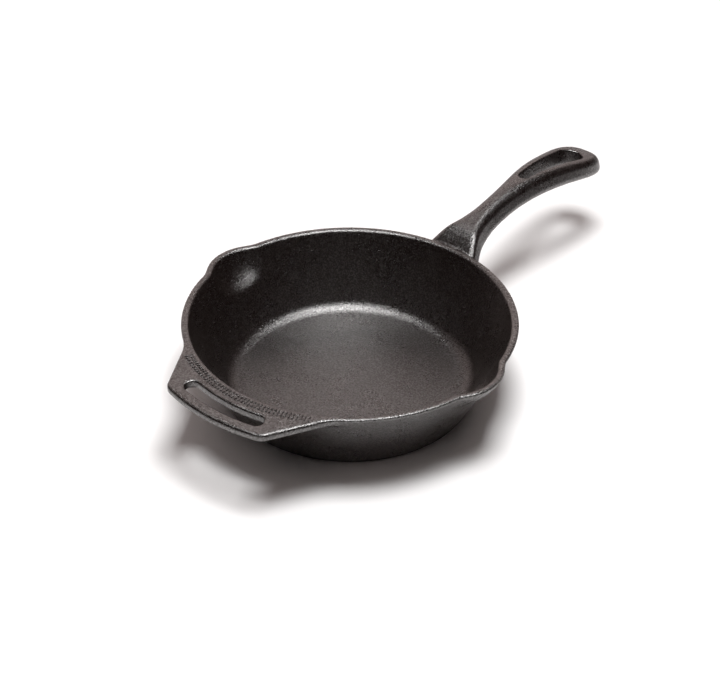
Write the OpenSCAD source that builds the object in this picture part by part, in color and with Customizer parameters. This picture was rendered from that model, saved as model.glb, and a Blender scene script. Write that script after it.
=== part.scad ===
// Cast-iron skillet of the nominal 20 cm size: a flared round pan with two pour spouts, a long
// domed handle that ends in a teardrop eye, and a short helper handle with a curved finger slot.
//
// The skillet is one casting. Each node is one region of it, and regions meet face to face.
// Frame: the origin is the centre of the flat base, +Z is up, and +X runs along the long handle.
// Left and right are those of a cook who holds that handle, so the right spout is at +Y.

/* [Pan] */
// Outside diameter of the rim
rim_d = 200; // [190:1:210]
// Height of the rim above the base
pan_h = 50; // [46:1:56]
// Diameter of the base
base_d = 149; // [140:1:156]
// Thickness of the wall, measured level, which is also the width of the rim
wall_w = 4.6; // [4:0.1:6]
// Thickness of the cooking floor
floor_t = 5; // [4:0.5:7]
// Radius of the inside corner between the floor and the wall
corner_r = 10; // [6:0.5:12]
// Radius of the outside corner under the wall
foot_r = 3; // [1:0.5:5]
// How much the cooking floor rises towards its rounded corner
dish_h = 1.1; // [0:0.1:1.5]
// Width of the ring over which it rises, which starts at the edge of the flat disc
dish_w = 26; // [20:1:30]

/* [Pour spouts] */
// How far each spout stands out past the rim
spout_out = 6; // [4:0.5:8]
// Radius of the spout's lip, seen from above
spout_r = 30.5; // [26:0.5:34]
// How far the spout's scoop runs down the wall
spout_drop = 20; // [14:1:24]
// Half the length of the soft shoulder between spout and rim
spout_blend = 2.5; // [1.5:0.5:3]

/* [Main handle] */
// Distance from the pan's axis to the handle's tip
handle_reach = 252.2; // [245:0.2:262]
// Width of the handle where it leaves the rim
handle_root_w = 40.2; // [34:0.2:42]
// Width of the handle at its waist
handle_waist_w = 19.6; // [16:0.2:21]
// Width of the handle across the eye
handle_end_w = 35.6; // [32:0.2:38]
// Height of the handle's highest point above the rim
handle_rise = 17.5; // [14:0.1:20]
// Thickness of the handle
handle_t = 12.4; // [11:0.2:14]
// Depth of the line where the handle's width is measured, below its crest
handle_widest = 9.8; // [8:0.2:11]
// How much the handle's top drops from the middle to the edges
handle_drop = 1.6; // [0:0.2:3]
// Angle that the handle's sides lean in from upright
handle_lean = 24; // [10:1:30]
// The same angle at the handle's tip
tip_lean = 12; // [8:1:30]
// Radius of the handle's upper edges
top_edge_r = 3.4; // [1:0.2:4]
// Radius of the handle's lower edges
keel_edge_r = 4.4; // [2:0.2:5]

/* [Eye] */
// Radius of the eye's narrow end, on the pan's side
eye_small_r = 4; // [3.6:0.2:6]
// Radius of the eye's wide end
eye_big_r = 9; // [8:0.2:12]
// Distance from the pan's axis to the middle of the narrow end
eye_small_x = 175.4; // [172:0.2:180]
// Distance from the pan's axis to the middle of the wide end
eye_big_x = 228.8; // [222:0.2:230]
// Angle that the eye's sides lean, from the top in to the widest line and out again below it
eye_lean = 15; // [0:1:17]

/* [Helper handle] */
// Distance from the pan's axis to the helper handle's outer edge
helper_reach = 123; // [120:1:128]
// Thickness of the helper handle
helper_t = 5; // [4:0.5:7]
// Angle of the helper handle's sides to the long handle's direction
helper_flank = 29; // [24:1:34]
// Distance from the pan's axis to the line of each side
helper_side = 88.3; // [84:0.5:92]
// Radius of the helper handle's two outer corners
helper_corner_r = 2.5; // [2:0.5:10]
// Width of the finger slot
slot_w = 8.8; // [7:0.2:10]
// Distance from the pan's axis to the middle line of the slot
slot_r = 111.2; // [109:0.2:113]
// Half the angle between the centres of the slot's ends
slot_half = 12.5; // [9:0.5:14]

/* [Raised marks] */
// Height of the raised marks above the surface
mark_h = 0.5; // [0.3:0.1:1]
// Number of bars in the helper handle's mark
helper_bars = 21; // [9:2:29]
// Number of bars in the main handle's mark
handle_bars = 7; // [3:2:9]

/* [Hidden] */
iron = [0.20, 0.18, 0.17];
worn_iron = [0.33, 0.31, 0.30];

rim_r = rim_d / 2;
base_r = base_d / 2;
// Slope of the wall, from level
wall_slope = atan2(pan_h, rim_r - base_r);
// Outer radius of the wall at height z, and the radius where the flat cooking floor ends
function outer_r(z) = base_r + (rim_r - base_r) * z / pan_h;
floor_r = outer_r(floor_t) - wall_w - corner_r * tan(wall_slope / 2);
// Radius of the flat disc, the rise of the floor outside it, and the inner radius of the wall
dish_r = floor_r + 8 - dish_w;
function rise(r) =
    let (s = min(max((r - dish_r) / dish_w, 0), 1))
    dish_h * s ^ 3 * (4 - 3 * s);
function dished(p) = [p[0], p[1] + rise(p[0]) * (pan_h - p[1]) / (pan_h - floor_t)];
function inner_r(z) =
    rim_r - wall_w
    - (rim_r - base_r) * (pan_h - z) / pan_h / (1 - dish_h / (pan_h - floor_t));
foot_x = base_r - foot_r * tan(wall_slope / 2);
// Step of the angle along a rounded corner of the pan's section
corner_step = wall_slope / 10;
dish_steps = 6;

// The spout's lip is a circle whose centre is spout_c out along Y; it starts at spout_z up the wall
spout_c = rim_r + spout_out - spout_r;
spout_z = pan_h - spout_drop;
spout_start_r = rim_r - spout_blend;
// Half the angle that the spout's region takes out of the wall
spout_half = acos((spout_start_r ^ 2 + spout_c ^ 2 - spout_r ^ 2) / (2 * spout_c * spout_start_r));
spout_steps = 14;
spout_rows = 8;
// How suddenly the scoop leaves the wall, outside and inside
spout_power_out = 2.5;
spout_power_in = 4;

// Main handle: stations [x, value, slope] for its crest above the rim and for half its width
handle_waist_x = 145;
handle_top_x = 178;
handle_cap_x = 226;
tip_x = 210;
crest_line = [
    [rim_r, 0, 0.95],
    [rim_r + 12, 8.5, 0.22],
    [handle_top_x, handle_rise, 0],
    [254, 4.2, -0.2]
];
width_line = [
    [rim_r, handle_root_w / 2, -0.6],
    [rim_r + 26, handle_waist_w / 2 + 1, -0.17],
    [handle_waist_x, handle_waist_w / 2, 0],
    [190, 14.6, 0.12],
    [handle_cap_x, handle_end_w / 2, 0.05]
];
// Exponents of the tip's outline, seen from above and from the side
cap_power = 2.6;
cap_side_power = 4;
// Points along each rounded edge and along half the top of a section
edge_points = 5;
top_points = 4;
// Where the solid shank ends and the region around the eye begins
split_x = 166;
shank_rows = 18;
eye_rows = 12;
cap_rows = 7;

// Far enough past a face for a clean cut
past = 20;
$fn = 96;

// ---- Curves ----

// Cubic between the stations a and b, each [x, value, slope]
function hermite(a, b, x) =
    let (d = b[0] - a[0], t = (x - a[0]) / d)
    (2 * t ^ 3 - 3 * t ^ 2 + 1) * a[1] + (t ^ 3 - 2 * t ^ 2 + t) * d * a[2]
    + (3 * t ^ 2 - 2 * t ^ 3) * b[1] + (t ^ 3 - t ^ 2) * d * b[2];

// Value of a line of stations at x, held level before its first and after its last station
function along(line, x, i = 0) =
    let (x_in = min(max(x, line[0][0]), line[len(line) - 1][0]))
    x_in <= line[i + 1][0] ? hermite(line[i], line[i + 1], x_in) : along(line, x, i + 1);

// Power that keeps the sign of its base
function signed_pow(v, p) = sign(v) * abs(v) ^ p;

// 0 below -k, v above k, and a smooth bend between
function soft_positive(v, k) = v <= -k ? 0 : (v >= k ? v : (v + k) ^ 2 / (4 * k));

// ---- Forms that several nodes use ----

// Solid through a list of rings that have the same number of points. Seen from beyond the last
// ring, each ring runs anticlockwise.
module loft(rings) {
    n = len(rings);
    m = len(rings[0]);
    sides = [
        for (i = [0 : n - 2], j = [0 : m - 1])
            [i * m + j, (i + 1) * m + j, (i + 1) * m + (j + 1) % m, i * m + (j + 1) % m]
    ];
    first = [for (j = [0 : m - 1]) j];
    last = [for (j = [m - 1 : -1 : 0]) (n - 1) * m + j];
    polyhedron(points = [for (ring = rings, p = ring) p], faces = concat([first], sides, [last]));
}

// Space that the pan fills, carried on above the rim
module pan_body() {
    cylinder(h = pan_h, r1 = base_r, r2 = rim_r);
    translate([0, 0, pan_h]) cylinder(h = past, r = rim_r);
}

// Wedge that takes a spout's region out of the wall, around the direction of angle
module spout_window(angle) {
    reach = 2 * rim_r;
    rotate([0, 0, angle])
        translate([0, 0, spout_z])
            linear_extrude(spout_drop + past)
                polygon([
                    [0, 0],
                    [reach * cos(spout_half), -reach * sin(spout_half)],
                    [reach * cos(spout_half), reach * sin(spout_half)]
                ]);
}

// How far the spout stands out of the wall, at angle a from its middle and at height z
function spout_bulge(a, z, power) =
    let (
        lip = spout_c * cos(a) + sqrt(spout_r ^ 2 - (spout_c * sin(a)) ^ 2),
        up = (z - spout_z) / spout_drop,
        sink = (spout_out + spout_blend) * (1 - up) ^ power
    )
    soft_positive(lip - rim_r - sink, spout_blend);

function spout_outside(a, z) =
    let (r = outer_r(z) + spout_bulge(a, z, spout_power_out))
    [r * cos(a), r * sin(a), z];

function spout_inside(a, z) =
    let (r = inner_r(z) + spout_bulge(a, z, spout_power_in))
    [r * cos(a), r * sin(a), z];

// One upright section of the spout: up the inside and down the outside
function spout_ring(a) = concat(
    [for (k = [0 : spout_rows]) spout_inside(a, spout_z + spout_drop * k / spout_rows)],
    [for (k = [spout_rows : -1 : 0]) spout_outside(a, spout_z + spout_drop * k / spout_rows)]
);

module pour_spout() {
    loft([for (i = [-spout_steps : spout_steps]) spout_ring(spout_half * i / spout_steps)]);
}

// Points round a rounded edge of radius r, from the direction a to the direction b
function edge(centre, r, a, b) = [
    for (i = [0 : edge_points])
        let (turn = a + (b - a) * i / edge_points)
        centre + r * [cos(turn), sin(turn)]
];

// How far in the centre of a side's rounded edge sits, when it is depth below the crest
function edge_centre_y(w, lean, depth, r) =
    w - (r + (handle_widest - depth) * sin(lean)) / cos(lean);

// Half of the handle's section, as [y, height over the crest] from the keel to the crest
function half_section(w, lean) =
    let (
        keel_y = edge_centre_y(w, lean, handle_t - keel_edge_r, keel_edge_r),
        first_y = edge_centre_y(w, lean, handle_drop / 2 + top_edge_r, top_edge_r),
        top_depth = handle_drop * (first_y / w) ^ 2 + top_edge_r,
        top_y = edge_centre_y(w, lean, top_depth, top_edge_r),
        tilt = atan(2 * handle_drop * top_y / w ^ 2),
        last_y = top_y + top_edge_r * sin(tilt)
    )
    concat(
        edge([keel_y, keel_edge_r - handle_t], keel_edge_r, -90, lean),
        edge([top_y, -top_depth], top_edge_r, lean, 90 - tilt),
        [
            for (i = [1 : top_points])
                let (y = last_y * (1 - i / top_points))
                [y, -handle_drop * (y / w) ^ 2]
        ]
    );

// One upright section of the main handle at x, shrunk by width and height factors for its tip
function handle_ring(x, fw = 1, fh = 1) =
    let (
        w = along(width_line, x),
        near_tip = min(max((x - tip_x) / (handle_reach - tip_x), 0), 1),
        half = half_section(w, handle_lean + (tip_lean - handle_lean) * near_tip),
        crest_z = pan_h + along(crest_line, x),
        middle = -handle_t / 2,
        n = len(half)
    )
    concat(
        [for (p = half) [x, p[0] * fw, crest_z + middle + (p[1] - middle) * fh]],
        [
            for (i = [n - 2 : -1 : 0])
                [x, -half[i][0] * fw, crest_z + middle + (half[i][1] - middle) * fh]
        ]
    );

// Sections of the rounded tip, closer together towards the end
function cap_rings() = [
    for (i = [1 : cap_rows])
        let (t = sin(88 * i / cap_rows))
        handle_ring(
            handle_cap_x + (handle_reach - handle_cap_x) * t,
            (1 - t ^ cap_power) ^ (1 / cap_power),
            (1 - t ^ cap_side_power) ^ (1 / cap_side_power)
        )
];

// Solid shank, which starts inside the pan
module shank_form() {
    start = outer_r(pan_h / 2) - wall_w;
    loft([for (i = [0 : shank_rows]) handle_ring(start + (split_x - start) * i / shank_rows)]);
}

// One corner of the teardrop eye's outline, grown by lean from the widest line to the height z
function eye_point(centre_x, r, a, z) =
    let (
        waist_z = pan_h + along(crest_line, centre_x + r * cos(a)) - handle_widest,
        grown = r + (abs(z - waist_z) - handle_widest) * tan(eye_lean)
    )
    [centre_x + grown * cos(a), grown * sin(a), z];

// The same corner on the widest line itself
function eye_waist_point(centre_x, r, a) =
    let (
        waist_z = pan_h + along(crest_line, centre_x + r * cos(a)) - handle_widest,
        shrunk = r - handle_widest * tan(eye_lean)
    )
    [centre_x + shrunk * cos(a), shrunk * sin(a), waist_z];

// The teardrop eye: two ends and the flanks between them, narrowest on the handle's widest line
module eye_form() {
    lean = asin((eye_big_r - eye_small_r) / (eye_big_x - eye_small_x));
    corners = concat(
        [for (i = [0 : 16]) [eye_big_x, eye_big_r, (90 + lean) * (i / 8 - 1)]],
        [for (i = [0 : 10]) [eye_small_x, eye_small_r, 90 + lean + (90 - lean) * i / 5]]
    );
    loft([
        [for (c = corners) eye_point(c[0], c[1], c[2], 0)],
        [for (c = corners) eye_waist_point(c[0], c[1], c[2])],
        [for (c = corners) eye_point(c[0], c[1], c[2], pan_h * 2)]
    ]);
}

// Outline of the helper handle, with its two rounded corners; it runs on into the pan
module helper_outline() {
    // Direction out of the +Y side, and the angle of the corner's centre
    out = 90 + helper_flank;
    corner_at = out + acos((helper_side - helper_corner_r) / (helper_reach - helper_corner_r));
    corner_c = (helper_reach - helper_corner_r) * [cos(corner_at), sin(corner_at)];
    inside = [-rim_r * 0.8, (helper_side + rim_r * 0.8 * cos(out)) / sin(out)];
    corner = [
        for (i = [0 : 8])
            let (a = out + (corner_at - out) * i / 8)
            corner_c + helper_corner_r * [cos(a), sin(a)]
    ];
    edge = [
        for (i = [1 : 11])
            let (a = corner_at + (360 - 2 * corner_at) * i / 12)
            helper_reach * [cos(a), sin(a)]
    ];
    half = concat([inside], corner);
    other = [for (i = [len(half) - 1 : -1 : 0]) [half[i][0], -half[i][1]]];
    polygon(concat(half, edge, other));
}

// Outline of the curved slot
module slot_outline() {
    reach = 2 * rim_r;
    intersection() {
        difference() {
            circle(r = slot_r + slot_w / 2, $fn = 200);
            circle(r = slot_r - slot_w / 2, $fn = 200);
        }
        polygon([
            [0, 0],
            [-reach * cos(slot_half), reach * sin(slot_half)],
            [-reach * cos(slot_half), -reach * sin(slot_half)]
        ]);
    }
    for (side = [-1, 1])
        rotate([0, 0, 180 + side * slot_half]) translate([slot_r, 0]) circle(r = slot_w / 2);
}

// ---- Nodes ----

// Flat disc in the middle, whose underside is the base
module cooking_floor() {
    color(worn_iron) cylinder(h = floor_t, r = dish_r, $fn = 200);
}

// Section of the floor's rising edge, its rounded corner and the flared wall
module wall_section() {
    polygon(concat(
        [[dish_r, 0]],
        [for (a = [0 : corner_step : wall_slope]) [foot_x + foot_r * sin(a), foot_r * (1 - cos(a))]],
        [[rim_r, pan_h], [rim_r - wall_w, pan_h]],
        [
            for (a = [wall_slope : -corner_step : corner_step / 2])
                dished([floor_r + corner_r * sin(a), floor_t + corner_r * (1 - cos(a))])
        ],
        [for (i = [dish_steps : -1 : 0]) dished([dish_r + (floor_r - dish_r) * i / dish_steps, floor_t])]
    ));
}

module side_wall() {
    color(iron)
        difference() {
            rotate_extrude($fn = 200) wall_section();
            spout_window(90);
            spout_window(-90);
        }
}

module left_pour_spout() {
    color(iron) rotate([0, 0, -90]) pour_spout();
}

module right_pour_spout() {
    color(iron) rotate([0, 0, 90]) pour_spout();
}

module handle_shank() {
    color(iron)
        difference() {
            shank_form();
            pan_body();
        }
}

module handle_eye() {
    color(iron)
        difference() {
            loft(concat(
                [
                    for (i = [0 : eye_rows])
                        handle_ring(split_x + (handle_cap_x - split_x) * i / eye_rows)
                ],
                cap_rings()
            ));
            eye_form();
        }
}

module helper_handle() {
    color(iron)
        difference() {
            translate([0, 0, pan_h - helper_t]) linear_extrude(helper_t) helper_outline();
            pan_body();
            linear_extrude(pan_h * 2) slot_outline();
        }
}

// Plain raised bars on the ramp where the main handle leaves the rim
module handle_mark() {
    bar_l = 8.2;
    bar_w = 1.2;
    pitch = 3.4;
    color(worn_iron)
        difference() {
            intersection() {
                translate([0, 0, mark_h]) shank_form();
                for (i = [0 : handle_bars - 1])
                    translate([rim_r + 2.1, (i - (handle_bars - 1) / 2) * pitch - bar_w / 2, 0])
                        cube([bar_l, bar_w, pan_h * 2]);
            }
            shank_form();
        }
}

// Plain raised bars in an arc beside the rim, half on the wall's top and half on the helper
module helper_mark() {
    bar_l = 5.1;
    bar_w = 1.2;
    bar_r = rim_r - 2.4;
    spread = 54;
    color(worn_iron)
        for (i = [0 : helper_bars - 1])
            rotate([0, 0, 180 - spread / 2 + spread * i / (helper_bars - 1)])
                translate([bar_r, -bar_w / 2, pan_h])
                    cube([bar_l, bar_w, mark_h]);
}

cooking_floor();
side_wall();
left_pour_spout();
right_pour_spout();
handle_shank();
handle_eye();
helper_handle();
handle_mark();
helper_mark();
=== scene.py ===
"""Cast-iron skillet on a white table top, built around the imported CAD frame.

The real skillet is one casting, so its visible body is one closed mesh. That mesh is the zero
surface of casting_field(), a signed distance in millimetres that repeats the sizes of the CAD
model and adds what the CAD leaves out: rounded edges, fillets at both handles, a flat top to the
long handle's ramp and the faint waviness of a sand casting. Negative is inside the iron.
"""

import math

import bpy
import numpy as np
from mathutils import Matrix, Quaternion, Vector


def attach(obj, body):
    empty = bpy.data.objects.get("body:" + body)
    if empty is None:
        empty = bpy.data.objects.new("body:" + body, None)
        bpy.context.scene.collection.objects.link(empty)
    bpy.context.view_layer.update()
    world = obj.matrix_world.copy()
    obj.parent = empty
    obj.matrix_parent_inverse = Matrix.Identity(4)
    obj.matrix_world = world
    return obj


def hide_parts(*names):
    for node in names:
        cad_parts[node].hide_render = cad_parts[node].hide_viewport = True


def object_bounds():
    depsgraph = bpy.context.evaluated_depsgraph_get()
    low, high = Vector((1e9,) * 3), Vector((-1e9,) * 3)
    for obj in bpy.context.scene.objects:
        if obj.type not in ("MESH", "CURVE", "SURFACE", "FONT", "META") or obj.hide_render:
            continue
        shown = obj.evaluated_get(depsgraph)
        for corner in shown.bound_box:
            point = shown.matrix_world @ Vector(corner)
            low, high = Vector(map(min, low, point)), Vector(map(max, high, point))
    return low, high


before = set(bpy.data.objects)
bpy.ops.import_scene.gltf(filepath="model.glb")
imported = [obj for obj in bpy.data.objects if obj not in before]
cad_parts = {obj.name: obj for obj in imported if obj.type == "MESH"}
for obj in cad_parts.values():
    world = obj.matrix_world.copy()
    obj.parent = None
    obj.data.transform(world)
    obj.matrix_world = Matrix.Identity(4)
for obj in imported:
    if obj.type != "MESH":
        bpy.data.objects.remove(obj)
cad_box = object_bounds()

MM = 0.001

# ---- Sizes of the skillet, in millimetres, the same as in the CAD model ----

RIM_R = 100.0
PAN_H = 50.0
BASE_R = 74.5
WALL_W = 4.6
FLOOR_T = 5.0
CORNER_R = 10.0
FOOT_R = 3.0
# The cooking floor rises by DISH_H over a ring DISH_W wide that starts at DISH_R
DISH_R = 48.3
DISH_W = 26.0
DISH_H = 1.1

SPOUT_OUT = 6.0
SPOUT_R = 30.5
# How far the centre of a spout's arc lies from the pan's axis
SPOUT_C = RIM_R + SPOUT_OUT - SPOUT_R
SPOUT_DROP = 20.0
SPOUT_BLEND = 2.5
# How suddenly the scoop leaves the wall, outside and inside
SPOUT_POWER_OUT = 2.5
SPOUT_POWER_IN = 4.0

# The handle starts inside the pan, where the cavity cuts it off, and keeps one section up to ROOT_X
HANDLE_START = 80.0
ROOT_X = 97.0
HANDLE_REACH = 252.2
HANDLE_CAP_X = 226.0
CAP_POWER = 2.6
# The handle's section: its top drops by HANDLE_DROP towards the edges, its sides lean in
# from a widest line HANDLE_WIDEST below the crest, and its underside is HANDLE_T below it
HANDLE_T = 12.4
HANDLE_WIDEST = 9.8
HANDLE_DROP = 1.6
HANDLE_LEAN = math.radians(24)
TIP_LEAN = math.radians(12)
TIP_X = 210.0
TOP_EDGE = 3.4
KEEL_EDGE = 4.4
# The top's dome is carried on to this share of the half width, past the edge
TOP_END = 1.3
# Turns the height above the sloping top into about its distance
TOP_SCALE = 0.96
# Stations [x, value, slope] of the handle's crest above the rim, and of half its width
CREST_LINE = [[100, 0, 0.95], [112, 8.5, 0.22], [178, 17.5, 0], [254, 4.2, -0.2]]
WIDTH_LINE = [
    [100, 20.1, -0.6],
    [126, 10.8, -0.17],
    [145, 9.8, 0],
    [190, 14.6, 0.12],
    [226, 17.8, 0.05],
]

EYE_SMALL_R = 4.0
EYE_BIG_R = 9.0
EYE_SMALL_X = 175.4
EYE_BIG_X = 228.8
# The eye narrows from the top down to the widest line of the handle, then opens again
EYE_LEAN = math.radians(15)

# The helper's plate starts inside the pan too
HELPER_START = 60.0
HELPER_REACH = 123.0
HELPER_T = 5.0
HELPER_FLANK = math.radians(29)
HELPER_SIDE = 88.3
SLOT_W = 8.8
SLOT_R = 111.2
SLOT_HALF = math.radians(12.5)

# ---- Sizes of the visible finish, in millimetres ----

GRID_STEP = 1.25
# Grid steps outside the CAD box; not a whole number, so that no grid plane lies on a flat face
GRID_MARGIN = 2.37
RIM_EDGE = 1.7
MOUTH_EDGE = 1.2
PLATE_EDGE = 2.0
PLATE_FILLET = 2.4
HOLE_EDGE = 1.2
# Fillet at the long handle's root: at the rim, further down, and how soon it grows
ROOT_FILLET_TOP = 1.0
ROOT_FILLET_LOW = 4.5
ROOT_FILLET_FADE = 5.0
EYE_EDGE = 1.2
HELPER_CORNER = 2.5
WAVE_HEIGHT = 0.014
WAVE_COUNT = 24
# The ramp at the root is flat from side to side; the drop grows between these two places
DROP_START = 100.0
DROP_FULL = 142.0

WALL_LEAN = math.atan2(RIM_R - BASE_R, PAN_H)
WALL_COS = math.cos(WALL_LEAN)
WALL_SIN = math.sin(WALL_LEAN)


# ---- Field functions ----


def round_max(a, b, r):
    """Where both a and b are inside, with an edge of radius r."""
    corner = np.hypot(np.maximum(r + a, 0), np.maximum(r + b, 0))
    return np.minimum(-r, np.maximum(a, b)) + corner


def round_min(a, b, r):
    """Where a or b is inside, with a fillet of radius r between them."""
    return -round_max(-a, -b, r)


def hermite(a, b, x):
    """Cubic between the stations a and b, each [x, value, slope]."""
    d = b[0] - a[0]
    t = (x - a[0]) / d
    value = (2 * t**3 - 3 * t**2 + 1) * a[1] + (t**3 - 2 * t**2 + t) * d * a[2]
    return value + (3 * t**2 - 2 * t**3) * b[1] + (t**3 - t**2) * d * b[2]


def along(line, x):
    """Value of a line of stations at x, carried on straight past both its ends."""
    first, last = line[0], line[-1]
    value = first[1] + (x - first[0]) * first[2]
    for a, b in zip(line[:-1], line[1:]):
        value = np.where(x >= a[0], hermite(a, b, np.minimum(x, b[0])), value)
    return np.where(x >= last[0], last[1] + (x - last[0]) * last[2], value)


def spout_bulge(x, y, rho, z, power):
    """How far the nearer spout stands out of the wall."""
    side = SPOUT_C * np.abs(x) / rho
    lip = SPOUT_C * np.abs(y) / rho + np.sqrt(np.maximum(SPOUT_R**2 - side**2, 0))
    up = np.clip((z - PAN_H + SPOUT_DROP) / SPOUT_DROP, 0, 1)
    rise = lip - RIM_R - (SPOUT_OUT + SPOUT_BLEND) * (1 - up) ** power
    bend = np.clip(rise + SPOUT_BLEND, 0, 2 * SPOUT_BLEND) ** 2 / (4 * SPOUT_BLEND)
    return bend + np.maximum(rise - SPOUT_BLEND, 0)


def cup(rho, z, inset, bottom, radius):
    """A solid cup of the wall's flare, with a rounded corner at its bottom."""
    wall = (rho - BASE_R - (RIM_R - BASE_R) * z / PAN_H + inset) * WALL_COS
    corner_x = BASE_R + (RIM_R - BASE_R) * bottom / PAN_H - inset
    corner_x -= radius * math.tan((math.pi / 2 - WALL_LEAN) / 2)
    dx = rho - corner_x
    dz = z - bottom - radius
    in_corner = (dx > 0) & (WALL_SIN * dx + WALL_COS * dz < 0)
    return np.where(in_corner, np.hypot(dx, dz) - radius, np.maximum(wall, bottom - z))


def helper_field(x, y, z, rho):
    """The helper handle's plate."""
    flank = -math.sin(HELPER_FLANK) * x + math.cos(HELPER_FLANK) * np.abs(y) - HELPER_SIDE
    outline = np.maximum(round_max(rho - HELPER_REACH, flank, HELPER_CORNER), x + HELPER_START)
    return round_max(outline, PAN_H - HELPER_T - z, PLATE_EDGE)


def slot_field(x, y, rho):
    """The curved finger slot, seen from above."""
    angle = np.arctan2(np.abs(y), -x)
    end_x = -SLOT_R * math.cos(SLOT_HALF)
    end_y = SLOT_R * math.sin(SLOT_HALF)
    end = np.hypot(x - end_x, np.abs(y) - end_y)
    return np.where(angle < SLOT_HALF, np.abs(rho - SLOT_R), end) - SLOT_W / 2


def eye_field(x, y, z):
    """The teardrop eye, narrowest at the handle's widest line."""
    length = EYE_BIG_X - EYE_SMALL_X
    b = (EYE_SMALL_R - EYE_BIG_R) / length
    a = math.sqrt(1 - b * b)
    u = x - EYE_SMALL_X
    v = np.abs(y)
    k = -b * v + a * u
    small = np.hypot(u, v) - EYE_SMALL_R
    big = np.hypot(u - length, v) - EYE_BIG_R
    side = a * v + b * u - EYE_SMALL_R
    plan = np.where(k < 0, small, np.where(k > a * length, big, side))
    below = z - PAN_H - along(CREST_LINE, x) + HANDLE_WIDEST
    waist = HANDLE_WIDEST + EYE_EDGE - np.hypot(below, EYE_EDGE)
    return plan * math.cos(EYE_LEAN) + waist * math.sin(EYE_LEAN)


def top_drop(x):
    """How far the handle's top drops towards its edges, nothing at the root."""
    t = np.clip((x - DROP_START) / (DROP_FULL - DROP_START), 0, 1)
    return HANDLE_DROP * t * t * (3 - 2 * t)


def handle_field(x, y, z):
    """The long handle: a softly domed top, sides that lean in above and below, a round tip."""
    w = along(WIDTH_LINE, np.clip(x, ROOT_X, HANDLE_CAP_X))
    cap = HANDLE_REACH - HANDLE_CAP_X
    u = np.abs(y) / w + 1e-6
    t = np.maximum(x - HANDLE_CAP_X, 0) / cap
    full = (u**CAP_POWER + t**CAP_POWER) ** (1 / CAP_POWER)
    grade = np.hypot((u / full) ** (CAP_POWER - 1) / w, (t / full) ** (CAP_POWER - 1) / cap)
    plan = (full - 1) / grade
    dz = z - PAN_H - along(CREST_LINE, np.maximum(x, ROOT_X))
    tip = np.clip((x - TIP_X) / (HANDLE_REACH - TIP_X), 0, 1)
    lean = HANDLE_LEAN + (TIP_LEAN - HANDLE_LEAN) * tip
    side = plan * np.cos(lean) + (dz + HANDLE_WIDEST) * np.sin(lean)
    top = (dz + top_drop(x) * np.minimum(full, TOP_END) ** 2) * TOP_SCALE
    shape = round_max(round_max(top, side, TOP_EDGE), -HANDLE_T - dz, KEEL_EDGE)
    return np.maximum(shape, HANDLE_START - x)


def wave_table():
    """Seeded directions, wave numbers and phases of the casting's faint waviness."""
    random = np.random.default_rng(7)
    way = random.normal(size=(WAVE_COUNT, 3))
    way /= np.linalg.norm(way, axis=1)[:, None]
    number = 2 * math.pi / random.uniform(6, 24, WAVE_COUNT)
    return way * number[:, None], random.uniform(0, 2 * math.pi, WAVE_COUNT)


def waviness(points):
    """Height of the faint waves at these points, and its slope."""
    height = np.zeros(len(points))
    slope = np.zeros_like(points)
    size = WAVE_HEIGHT / math.sqrt(WAVE_COUNT / 2)
    for way, phase in zip(*wave_table()):
        turn = points @ way + phase
        height += size * np.sin(turn)
        slope += size * np.cos(turn)[:, None] * way
    return height, slope


def casting_field(x, y, z):
    """Signed distance to the skillet's surface."""
    rho = np.hypot(x, y) + 1e-6
    rho_out = rho - spout_bulge(x, y, rho, z, SPOUT_POWER_OUT)
    rho_in = rho - spout_bulge(x, y, rho, z, SPOUT_POWER_IN)
    body = cup(rho_out, z, 0, 0, FOOT_R)
    helper = helper_field(x, y, z, rho)
    body = round_min(body, helper, PLATE_FILLET)
    body = round_max(body, z - PAN_H, RIM_EDGE)
    low = np.clip((PAN_H - ROOT_FILLET_TOP - z) / ROOT_FILLET_FADE, 0, 1)
    root_fillet = ROOT_FILLET_TOP + (ROOT_FILLET_LOW - ROOT_FILLET_TOP) * low
    body = round_min(body, handle_field(x, y, z), root_fillet)
    body = round_max(body, -eye_field(x, y, z), EYE_EDGE)
    body = round_max(body, -slot_field(x, y, rho), HOLE_EDGE)
    s = np.clip((rho - DISH_R) / DISH_W, 0, 1)
    dish = DISH_H * s**3 * (4 - 3 * s) * np.clip((PAN_H - z) / (PAN_H - FLOOR_T), 0, 1)
    return round_max(body, -cup(rho_in, z - dish, WALL_W, FLOOR_T, CORNER_R), MOUTH_EDGE)


def slopes(points, step=0.04):
    """The field and its gradient at a list of points."""
    x, y, z = points.T
    here = casting_field(x, y, z)
    ahead = [
        casting_field(x + step, y, z),
        casting_field(x, y + step, z),
        casting_field(x, y, z + step),
    ]
    return here, (np.stack(ahead, axis=1) - here[:, None]) / step


# ---- From field to mesh ----


def sample(axes):
    """The field at every node of a grid, a slab at a time."""
    values = np.empty([len(a) for a in axes], np.float32)
    y, z = np.meshgrid(axes[1], axes[2], indexing="ij")
    for i in range(0, len(axes[0]), 8):
        x = axes[0][i : i + 8, None, None]
        shape = np.broadcast(x, y).shape
        values[i : i + 8] = casting_field(
            np.broadcast_to(x, shape), np.broadcast_to(y, shape), np.broadcast_to(z, shape)
        )
    return values


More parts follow.
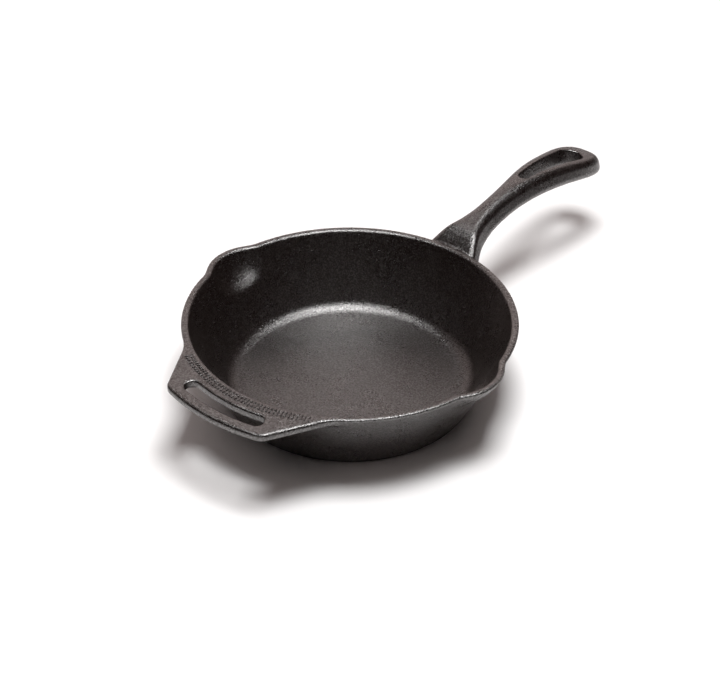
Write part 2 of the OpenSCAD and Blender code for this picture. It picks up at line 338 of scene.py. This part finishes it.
def surface_net(axes, values):
    """Quads round every grid edge that crosses the surface, with one point in each cell."""
    inside = values < 0
    strides = [values.shape[1] * values.shape[2], values.shape[2], 1]
    flat = values.ravel()
    cells, hits, quads = [], [], []
    for d in range(3):
        e, g = (d + 1) % 3, (d + 2) % 3
        here = [slice(None)] * 3
        there = [slice(None)] * 3
        here[d] = slice(0, -1)
        there[d] = slice(1, None)
        crossed = np.argwhere(inside[tuple(here)] != inside[tuple(there)])
        node = crossed @ np.array(strides)
        v0, v1 = flat[node], flat[node + strides[d]]
        point = np.stack([axes[k][crossed[:, k]] for k in range(3)], axis=1)
        gap = axes[d][crossed[:, d] + 1] - axes[d][crossed[:, d]]
        point[:, d] += gap * v0 / (v0 - v1)
        around = [node - strides[e] - strides[g], node - strides[g], node, node - strides[e]]
        quad = np.stack(around, axis=1)
        quads.append(np.where((v0 < 0)[:, None], quad, quad[:, ::-1]))
        for cell in around:
            cells.append(cell)
            hits.append(point)
    cells, hits, quads = np.concatenate(cells), np.concatenate(hits), np.concatenate(quads)
    names, which = np.unique(cells, return_inverse=True)
    count = np.bincount(which)
    points = np.stack([np.bincount(which, hits[:, k]) / count for k in range(3)], axis=1)
    return points, np.searchsorted(names, quads)


def unit(vectors):
    """The same directions with length 1."""
    return vectors / np.linalg.norm(vectors, axis=1)[:, None]


def settle(points, rounds):
    """Moves points along the field's slope onto the surface."""
    for _ in range(rounds):
        value, slope = slopes(points)
        move = value / np.maximum((slope**2).sum(axis=1), 0.2)
        points = points - np.clip(move, -0.5, 0.5)[:, None] * slope
    return points


def mesh_normals(points, quads):
    """Outward direction at each point, from the quads round it."""
    a, b, c, d = (points[quads[:, k]] for k in range(4))
    face = np.cross(c - a, d - b)
    total = np.stack(
        [np.bincount(quads.ravel(), np.repeat(face[:, k], 4), len(points)) for k in range(3)],
        axis=1,
    )
    return unit(total)


def even_out(points, quads, rounds):
    """Slides points along the surface towards the middle of their neighbours."""
    start = quads.ravel()
    end = np.roll(quads, -1, axis=1).ravel()
    count = np.bincount(start, minlength=len(points)) + np.bincount(end, minlength=len(points))
    for _ in range(rounds):
        middle = np.empty_like(points)
        for k in range(3):
            total = np.bincount(start, points[end, k], len(points))
            total += np.bincount(end, points[start, k], len(points))
            middle[:, k] = total / count
        normal = mesh_normals(points, quads)
        pull = middle - points
        pull -= normal * (pull * normal).sum(axis=1)[:, None]
        points = settle(points + 0.5 * pull, 1)
    return points


def make_mesh(name, points, faces):
    """A smooth mesh object from points in millimetres."""
    mesh = bpy.data.meshes.new(name)
    mesh.from_pydata((points * MM).tolist(), [], faces)
    mesh.polygons.foreach_set("use_smooth", [True] * len(mesh.polygons))
    mesh.update()
    made = bpy.data.objects.new(name, mesh)
    bpy.context.scene.collection.objects.link(made)
    return made


def make_casting():
    """The whole casting as one closed mesh, with normals straight from the field."""
    low = [v / MM for v in cad_box[0]]
    high = [v / MM for v in cad_box[1]]
    axes = []
    for a, b in zip(low, high):
        first = a - GRID_MARGIN * GRID_STEP
        axes.append(first + GRID_STEP * np.arange(math.ceil((b - first) / GRID_STEP) + 3))
    points, quads = surface_net(axes, sample(axes))
    points = settle(points, 2)
    points = even_out(points, quads, 3)
    points = settle(points, 1)
    normal = unit(slopes(points)[1])
    height, slope = waviness(points)
    points = points + height[:, None] * normal
    # The base stays flat on the table
    points[:, 2] = np.maximum(points[:, 2], 0)
    normal = unit(normal - slope + normal * (slope * normal).sum(axis=1)[:, None])
    made = make_mesh("skillet_casting", points, quads.tolist())
    made.data.normals_split_custom_set_from_vertices(normal.tolist())
    return made


# ---- Raised marks: plain ticks in place of lettering ----

# Rings [height share, inset] of a tick from its sunken foot to its top
TICK_RINGS = [[-0.4, 0.0], [0.0, 0.0], [0.7, 0.04], [0.93, 0.1], [1.0, 0.18]]
TICK_SIDES = 14
TICK_LENGTH = 2.2
TICK_WIDTH = 0.9
TICK_HEIGHT = 0.5
HELPER_TICKS = 43
HELPER_TICK_RADII = [98.7, 101.6]
HELPER_TICK_SPREAD = 54
# Rows [x, count] of the long handle's ticks, and the distance between neighbours
HANDLE_TICK_ROWS = [[103.2, 12], [106.2, 11], [109.2, 9]]
HANDLE_TICK_PITCH = 2.0


def ramp_top(x, y):
    """Height of the long handle's top surface."""
    return PAN_H + along(CREST_LINE, x) - top_drop(x) * (y / along(WIDTH_LINE, x)) ** 2


def rim_top(x, y):
    """Height of the helper handle's top surface."""
    return np.full_like(x, PAN_H)


def tick(points, faces, centre, way, top):
    """Adds one rounded bar that follows the surface given by top()."""
    start = sum(len(p) for p in points)
    across = np.array([-way[1], way[0]])
    for lift, inset in TICK_RINGS:
        r = TICK_WIDTH / 2 - inset
        half = TICK_LENGTH / 2 - TICK_WIDTH / 2
        turn = np.linspace(-math.pi / 2, math.pi / 2, TICK_SIDES // 2)
        u = np.concatenate([half + r * np.cos(turn), -half - r * np.cos(turn)])
        v = np.concatenate([r * np.sin(turn), -r * np.sin(turn)])
        flat = centre + u[:, None] * way + v[:, None] * across
        z = top(flat[:, 0], flat[:, 1]) + lift * TICK_HEIGHT
        points.append(np.column_stack([flat, z]))
    n = TICK_SIDES
    for ring in range(len(TICK_RINGS) - 1):
        for i in range(n):
            a = start + ring * n + i
            b = start + ring * n + (i + 1) % n
            faces.append([a, b, b + n, a + n])
    faces.append([start + i for i in range(n - 1, -1, -1)])
    last = start + (len(TICK_RINGS) - 1) * n
    faces.append([last + i for i in range(n)])


def make_ticks(name, points, faces):
    """A mesh of ticks with flat tops and rounded edges."""
    made = make_mesh(name, np.concatenate(points), faces)
    for polygon in made.data.polygons:
        if len(polygon.vertices) == TICK_SIDES:
            polygon.use_smooth = False
    return made


def make_helper_mark():
    """Two rows of short radial ticks that follow the rim."""
    points, faces = [], []
    for i in range(HELPER_TICKS):
        share = i / (HELPER_TICKS - 1) - 0.5
        angle = math.radians(180 + HELPER_TICK_SPREAD * share)
        way = np.array([math.cos(angle), math.sin(angle)])
        for r in HELPER_TICK_RADII:
            tick(points, faces, way * r, way, rim_top)
    return make_ticks("helper_mark_ticks", points, faces)


def make_handle_mark():
    """Three rows of short ticks on the ramp where the long handle starts."""
    points, faces = [], []
    way = np.array([1.0, 0.0])
    for x, count in HANDLE_TICK_ROWS:
        for i in range(count):
            y = (i - (count - 1) / 2) * HANDLE_TICK_PITCH
            tick(points, faces, np.array([x, y]), way, ramp_top)
    return make_ticks("handle_mark_ticks", points, faces)


# ---- Material ----


def node(tree, kind, place, **values):
    """A shader node with its inputs set by name."""
    made = tree.nodes.new(kind)
    made.location = place
    for key, value in values.items():
        made.inputs[key.replace("_", " ")].default_value = value
    return made


def make_iron():
    """Seasoned cast iron: near-black, satin, with the grain of the sand mould."""
    material = bpy.data.materials.new("seasoned_iron")
    material.use_nodes = True
    tree = material.node_tree
    link = tree.links.new
    shader = tree.nodes["Principled BSDF"]
    shader.inputs["Metallic"].default_value = 0.0
    shader.inputs["IOR"].default_value = 2.15
    shader.inputs["Specular Tint"].default_value = (1.0, 0.98, 0.97, 1)
    place = tree.nodes.new("ShaderNodeTexCoord")
    place.location = (-1300, 0)
    mottle = node(tree, "ShaderNodeTexNoise", (-1000, 300), Scale=55.0, Detail=5.0, Roughness=0.6)
    speck = node(tree, "ShaderNodeTexNoise", (-1000, 0), Scale=950.0, Detail=1.0, Roughness=0.5)
    grain = node(tree, "ShaderNodeTexNoise", (-1000, -300), Scale=2500.0, Detail=1.0, Roughness=0.5)
    # Noise for painted glints: pale specks in the base colour stand in for the grain's sparkle
    glint_speck_noise = node(tree, "ShaderNodeTexNoise", (-1000, -600), Scale=1500.0, Detail=1.0, Roughness=0.5)
    for texture in (mottle, speck, grain, glint_speck_noise):
        link(place.outputs["Object"], texture.inputs["Vector"])
    colour = tree.nodes.new("ShaderNodeValToRGB")
    colour.location = (-600, 300)
    colour.color_ramp.elements[0].position = 0.3
    colour.color_ramp.elements[0].color = (0.0036, 0.0012, 0.0008, 1)
    colour.color_ramp.elements[1].position = 0.72
    colour.color_ramp.elements[1].color = (0.0060, 0.0026, 0.0020, 1)
    blend = tree.nodes.new("ShaderNodeMath")
    blend.operation = "MULTIPLY_ADD"
    blend.location = (-780, 300)
    blend.inputs[1].default_value = 0.6
    half = tree.nodes.new("ShaderNodeMath")
    half.operation = "MULTIPLY"
    half.location = (-780, 100)
    half.inputs[1].default_value = 0.4
    link(speck.outputs["Fac"], half.inputs[0])
    link(mottle.outputs["Fac"], blend.inputs[0])
    link(half.outputs[0], blend.inputs[2])
    link(blend.outputs[0], colour.inputs["Fac"])
    rough = node(tree, "ShaderNodeMapRange", (-600, 0))
    rough.inputs["From Min"].default_value = 0.3
    rough.inputs["From Max"].default_value = 0.7
    rough.inputs["To Min"].default_value = 0.25
    rough.inputs["To Max"].default_value = 0.32
    link(blend.outputs[0], rough.inputs["Value"])
    link(rough.outputs["Result"], shader.inputs["Roughness"])
    fine = node(tree, "ShaderNodeBump", (-400, -300), Strength=1.0, Distance=0.00017)
    link(grain.outputs["Fac"], fine.inputs["Height"])
    sand = node(tree, "ShaderNodeBump", (-600, -300), Strength=1.0, Distance=0.00006)
    link(speck.outputs["Fac"], sand.inputs["Height"])
    link(sand.outputs["Normal"], fine.inputs["Normal"])
    link(fine.outputs["Normal"], shader.inputs["Normal"])
    shine = node(tree, "ShaderNodeMapRange", (-600, -600))
    shine.inputs["From Min"].default_value = 0.42
    shine.inputs["From Max"].default_value = 0.68
    shine.inputs["To Min"].default_value = 0.38
    shine.inputs["To Max"].default_value = 0.80
    link(speck.outputs["Fac"], shine.inputs["Value"])
    link(shine.outputs["Result"], shader.inputs["Specular IOR Level"])
    # Painted glints: where this noise peaks, the base colour turns to pale specks in place of
    # sparkle from the light
    glint_speck_mask = node(tree, "ShaderNodeMapRange", (-600, -900))
    glint_speck_mask.inputs["From Min"].default_value = 0.67
    glint_speck_mask.inputs["From Max"].default_value = 0.75
    link(glint_speck_noise.outputs["Fac"], glint_speck_mask.inputs["Value"])
    glint_specked_colour = tree.nodes.new("ShaderNodeMix")
    glint_specked_colour.data_type = "RGBA"
    glint_specked_colour.location = (-250, 300)
    glint_specked_colour.inputs["B"].default_value = (0.11, 0.10, 0.095, 1)
    link(glint_speck_mask.outputs["Result"], glint_specked_colour.inputs["Factor"])
    link(colour.outputs["Color"], glint_specked_colour.inputs["A"])
    link(glint_specked_colour.outputs["Result"], shader.inputs["Base Color"])
    return material


# Distances from the pan's axis, in metres: where the table starts to change, where its glow has
# grown fully, and where its own colour has darkened fully
TABLE_NEAR = 0.3
TABLE_GLOW_FULL = 0.8
TABLE_DARK_FULL = 0.9


def make_floor_material():
    """White table top, whose far parts throw little light on the pan but look white all the same."""
    material = bpy.data.materials.new("white_table")
    material.use_nodes = True
    tree = material.node_tree
    link = tree.links.new
    shader = tree.nodes["Principled BSDF"]
    shader.inputs["Roughness"].default_value = 0.9
    shader.inputs["Specular IOR Level"].default_value = 0.1
    shader.inputs["Emission Color"].default_value = (1, 1, 1, 1)
    place = tree.nodes.new("ShaderNodeTexCoord")
    far = tree.nodes.new("ShaderNodeVectorMath")
    far.operation = "LENGTH"
    link(place.outputs["Object"], far.inputs[0])
    fade = node(tree, "ShaderNodeMapRange", (-600, -300))
    fade.interpolation_type = "SMOOTHSTEP"
    fade.inputs["From Min"].default_value = TABLE_NEAR
    fade.inputs["From Max"].default_value = TABLE_GLOW_FULL
    link(far.outputs["Value"], fade.inputs["Value"])
    tone = node(tree, "ShaderNodeMapRange", (-600, 100))
    tone.interpolation_type = "SMOOTHSTEP"
    tone.inputs["From Min"].default_value = TABLE_NEAR
    tone.inputs["From Max"].default_value = TABLE_DARK_FULL
    tone.inputs["To Min"].default_value = 0.86
    tone.inputs["To Max"].default_value = 0.1
    link(far.outputs["Value"], tone.inputs["Value"])
    link(tone.outputs["Result"], shader.inputs["Base Color"])
    path = tree.nodes.new("ShaderNodeLightPath")
    seen = tree.nodes.new("ShaderNodeMath")
    seen.operation = "MULTIPLY"
    link(fade.outputs["Result"], seen.inputs[0])
    link(path.outputs["Is Camera Ray"], seen.inputs[1])
    link(seen.outputs[0], shader.inputs["Emission Strength"])
    return material


# ---- Studio ----


def back_vector(azimuth, elevation):
    a, e = math.radians(azimuth), math.radians(elevation)
    return Vector((math.sin(a) * math.cos(e), -math.cos(a) * math.cos(e), math.sin(e)))


CAMERA_AZIMUTH = -50.65
CAMERA_ELEVATION = 35.93
CAMERA_DISTANCE = 1.0712
CAMERA_ROLL = 0.365
CAMERA_AIM = Vector((0.0044, -0.0041, 0.025))
CAMERA_LENS = 89.68
# Colour of the two lights that shape the rims and shadows
WARM = (1.0, 0.85, 0.82)


def make_camera():
    """The photograph's view."""
    camera = bpy.data.objects.new("camera", bpy.data.cameras.new("camera"))
    bpy.context.scene.collection.objects.link(camera)
    camera.data.lens = CAMERA_LENS
    camera.data.sensor_width = 36.0
    back = back_vector(CAMERA_AZIMUTH, CAMERA_ELEVATION)
    camera.location = CAMERA_AIM + back * CAMERA_DISTANCE
    camera.rotation_mode = "QUATERNION"
    roll = Quaternion((0, 0, 1), math.radians(CAMERA_ROLL))
    camera.rotation_quaternion = (-back).to_track_quat("-Z", "Y") @ roll
    camera.data.clip_start = 0.05
    camera.data.clip_end = 100.0
    bpy.context.scene.camera = camera


def make_light(name, azimuth, elevation, distance, size_x, size_y, power):
    """A soft area light that looks at the pan from a direction."""
    data = bpy.data.lights.new(name, "AREA")
    data.shape = "RECTANGLE"
    data.size = size_x
    data.size_y = size_y
    data.energy = power
    light = bpy.data.objects.new(name, data)
    bpy.context.scene.collection.objects.link(light)
    back = back_vector(azimuth, elevation)
    light.location = Vector((0, 0, 0.03)) + back * distance
    light.rotation_mode = "QUATERNION"
    light.rotation_quaternion = (-back).to_track_quat("-Z", "Y")
    return light


def make_world():
    """Dim room for light and reflections, and a pale one where the camera sees past the table."""
    world = bpy.data.worlds.new("studio")
    bpy.context.scene.world = world
    world.use_nodes = True
    tree = world.node_tree
    tree.nodes.clear()
    out = tree.nodes.new("ShaderNodeOutputWorld")
    room = tree.nodes.new("ShaderNodeBackground")
    room.inputs["Color"].default_value = (1, 0.8, 0.75, 1)
    room.inputs["Strength"].default_value = 0.006
    pale = tree.nodes.new("ShaderNodeBackground")
    pale.inputs["Color"].default_value = (1, 1, 1, 1)
    pale.inputs["Strength"].default_value = 1.0
    path = tree.nodes.new("ShaderNodeLightPath")
    mix = tree.nodes.new("ShaderNodeMixShader")
    tree.links.new(path.outputs["Is Camera Ray"], mix.inputs[0])
    tree.links.new(room.outputs[0], mix.inputs[1])
    tree.links.new(pale.outputs[0], mix.inputs[2])
    tree.links.new(mix.outputs[0], out.inputs["Surface"])


def make_floor():
    """A flat table top, wide enough to fill the view."""
    size = 3.0
    corners = [[-size, -size, 0], [size, -size, 0], [size, size, 0], [-size, size, 0]]
    mesh = bpy.data.meshes.new("table_top")
    mesh.from_pydata(corners, [], [[0, 1, 2, 3]])
    table = bpy.data.objects.new("table_top", mesh)
    bpy.context.scene.collection.objects.link(table)
    mesh.materials.append(make_floor_material())


iron = make_iron()
casting = make_casting()
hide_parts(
    "cooking_floor",
    "side_wall",
    "left_pour_spout",
    "right_pour_spout",
    "handle_shank",
    "handle_eye",
    "helper_handle",
)
helper_mark = make_helper_mark()
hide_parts("helper_mark")
handle_mark = make_handle_mark()
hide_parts("handle_mark")
for piece in (casting, helper_mark, handle_mark):
    piece.data.materials.append(iron)
    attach(piece, "root")

make_camera()
make_floor()
make_world()
make_light("overhead", CAMERA_AZIMUTH + 80, 85.5, 1.5, 0.6, 0.6, 26)
fill = make_light("wide_fill", CAMERA_AZIMUTH, 86, 1.6, 2.2, 2.2, 8.5)
behind = make_light("behind", CAMERA_AZIMUTH + 190, 24, 2.0, 3.4, 1.1, 15)
behind.data.color = WARM
fill.data.color = WARM
# The fill only lifts the shadows on the table, so the iron doesn't mirror it
fill.visible_glossy = False
bpy.context.scene.view_settings.view_transform = "Standard"
